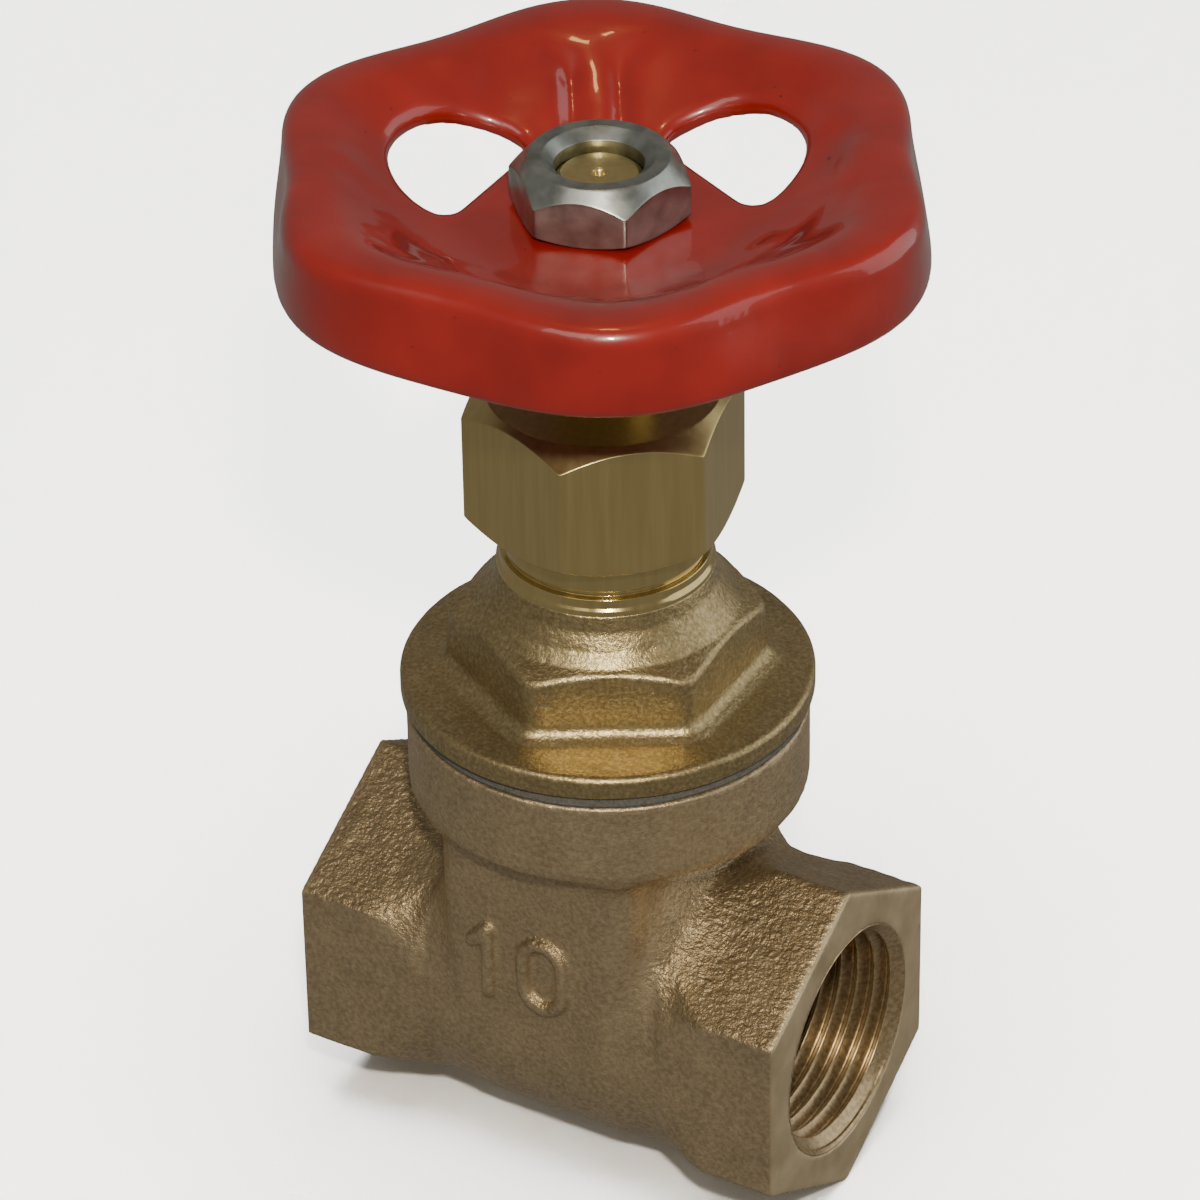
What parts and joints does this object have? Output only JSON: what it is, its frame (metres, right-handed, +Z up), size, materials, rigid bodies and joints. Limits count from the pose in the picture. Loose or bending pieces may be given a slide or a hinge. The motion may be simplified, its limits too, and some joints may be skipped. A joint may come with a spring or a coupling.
{
  "type": "gate valve",
  "caption": "Small bronze gate valve with hexagon pipe-thread ends, a screwed bonnet, a gland nut and a red lobed handwheel on a stem that turns without rising.",
  "frame": {"origin": "on the pipe's axis where the inlet's thread starts, 0.95 mm inside the inlet's end face", "axes": "+X along the pipe towards the outlet, +Z up the stem towards the handwheel, +Y to the left of the flow"},
  "size_m": [0.0458, 0.0434, 0.0784],
  "materials": {
    "cast_bronze": "sand-cast bronze, rough grain, dull",
    "blasted_brass": "blasted hot-stamped brass, fine grain, satin",
    "turned_brass": "turned brass, fine tool marks, bright",
    "gasket_fibre": "compressed fibre, matt",
    "packing": "graphited packing, matt",
    "red_enamel": "dipped red enamel, gloss",
    "zinc_plate": "zinc-plated steel, satin"
  },
  "bodies": {
    "valve_body": {"body": "cast_bronze", "bonnet_gasket": "gasket_fibre", "bonnet": "blasted_brass", "stem_retaining_ring": "turned_brass", "packing_washer": "turned_brass", "packing_ring_lower": "packing", "packing_ring_middle": "packing", "packing_ring_upper": "packing", "gland_follower": "turned_brass", "gland_nut": "turned_brass"},
    "stem": {"stem": "turned_brass", "handwheel": "red_enamel", "handwheel_nut": "zinc_plate"},
    "gate": {"wedge_gate": "turned_brass"}
  },
  "joints": [
    {"name": "stem_turn", "type": "hinge", "parent": "valve_body", "child": "stem", "pos_m": [0.0181, 0, 0.0481], "axis": [0, 0, 1], "range_deg": [-2075, 0]},
    {"name": "gate_slide", "type": "slide", "parent": "valve_body", "child": "gate", "axis": [0, 0, 1], "range_m": [-0.0115, 0]}
  ],
  "couplings": [
    {"joint": "stem_turn", "follows": "gate_slide", "rad_per_m": 3141.6}
  ]
}
